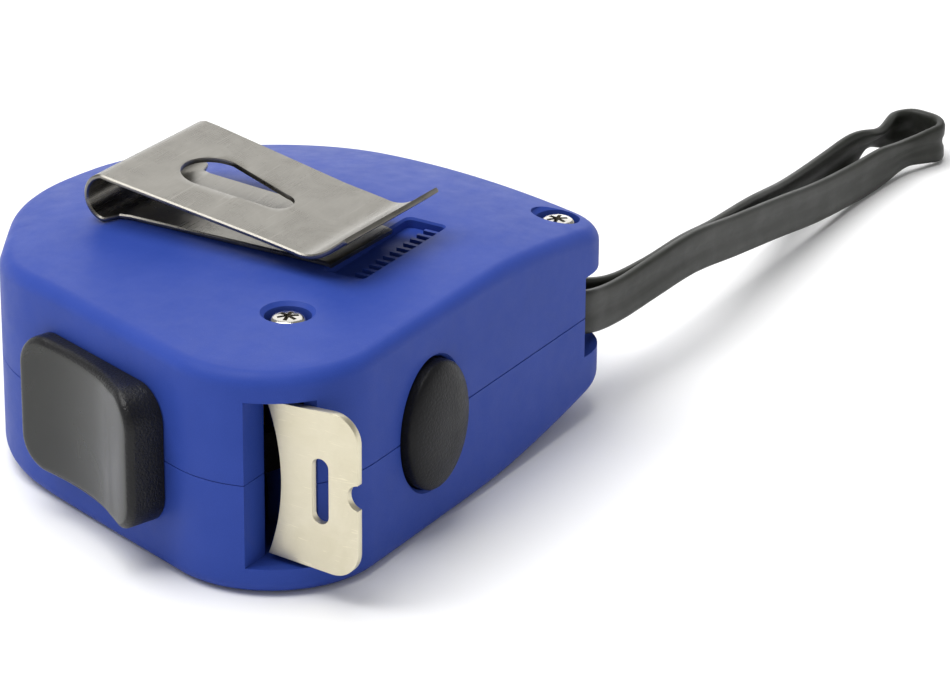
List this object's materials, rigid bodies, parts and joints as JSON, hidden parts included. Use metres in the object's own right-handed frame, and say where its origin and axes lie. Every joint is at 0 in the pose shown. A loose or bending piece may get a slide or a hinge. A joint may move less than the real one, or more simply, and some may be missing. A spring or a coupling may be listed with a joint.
{
  "type": "tape measure",
  "caption": "Pocket tape measure: D-shaped plastic case with pull-out steel blade and end hook, sliding thumb lock, brake button, belt clip and looped wrist strap.",
  "frame": {"origin": "bottom centre of the box of everything but the wrist strap, on the face that it lies on", "axes": "+Z through the case's thickness towards the belt clip; the blade leaves along -X; the case's base wall faces -Y"},
  "size_m": [0.1511, 0.0634, 0.0306],
  "materials": {
    "case_blue": "fine-textured matte",
    "black_plastic": "satin",
    "black_rubber": "matte",
    "strap_black": "satin moulded",
    "nickel": "satin nickel plate",
    "spring_steel": "bright rolled, lightly scuffed",
    "zinc_screw": "bright zinc",
    "blade_yellow": "gloss enamel",
    "inner_plastic": "matte",
    "power_spring_steel": "oiled"
  },
  "bodies": {
    "case": {"case_cover": "case_blue", "case_base": "case_blue", "case_screw_1": "zinc_screw", "case_screw_2": "zinc_screw", "case_screw_3": "zinc_screw", "spindle": "inner_plastic", "blade_guide": "black_plastic", "lock_detent": "power_spring_steel", "brake_spring": "power_spring_steel", "clip_base": "spring_steel"},
    "clip": {"clip_arm": "spring_steel"},
    "blade": {"blade_strip": "blade_yellow", "hook_rivet_1": "nickel", "hook_rivet_2": "nickel", "hook_rivet_3": "nickel"},
    "hook": {"end_hook": "nickel"},
    "reel": {"spool": "inner_plastic", "spool_cover": "inner_plastic", "power_spring": "power_spring_steel", "blade_coil": "blade_yellow"},
    "lock": {"lock_button": "black_plastic", "lock_slider": "black_plastic", "lock_shoe": "black_plastic"},
    "brake": {"brake_button": "black_plastic", "brake_pad": "black_rubber"},
    "strap": {"wrist_strap": "strap_black"}
  },
  "joints": [
    {"name": "blade_slide", "type": "slide", "parent": "case", "child": "blade", "axis": [-1, 0, 0], "range_m": [0, 0.03], "stiffness_N_per_m": 20, "springref_m": -0.15},
    {"name": "hook_play", "type": "slide", "parent": "blade", "child": "hook", "axis": [-1, 0, 0], "range_m": [0, 0.0008]},
    {"name": "spool_spin", "type": "hinge", "parent": "case", "child": "reel", "pos_m": [0.00518, 0.00189, 0.0125], "axis": [0, 0, -1], "range_deg": [0, 84]},
    {"name": "lock_slide", "type": "slide", "parent": "case", "child": "lock", "axis": [-0.3259, -0.9454, 0], "range_m": [0, 0.004]},
    {"name": "brake_press", "type": "slide", "parent": "case", "child": "brake", "axis": [0, 1, 0], "range_m": [0, 0.0015], "stiffness_N_per_m": 800, "springref_m": -0.001},
    {"name": "clip_flex", "type": "hinge", "parent": "case", "child": "clip", "pos_m": [0.00177, 0.01619, 0.02786], "axis": [-0.9994, 0.0349, 0], "range_deg": [0, 7], "stiffness_Nm_per_rad": 2},
    {"name": "strap_swing", "type": "hinge", "parent": "case", "child": "strap", "pos_m": [0.02528, -0.02291, 0.0119], "axis": [0, 0, 1], "range_deg": [-50, 8]}
  ],
  "couplings": [
    {"joint": "spool_spin", "follows": "blade_slide", "rad_per_m": 48.781}
  ]
}
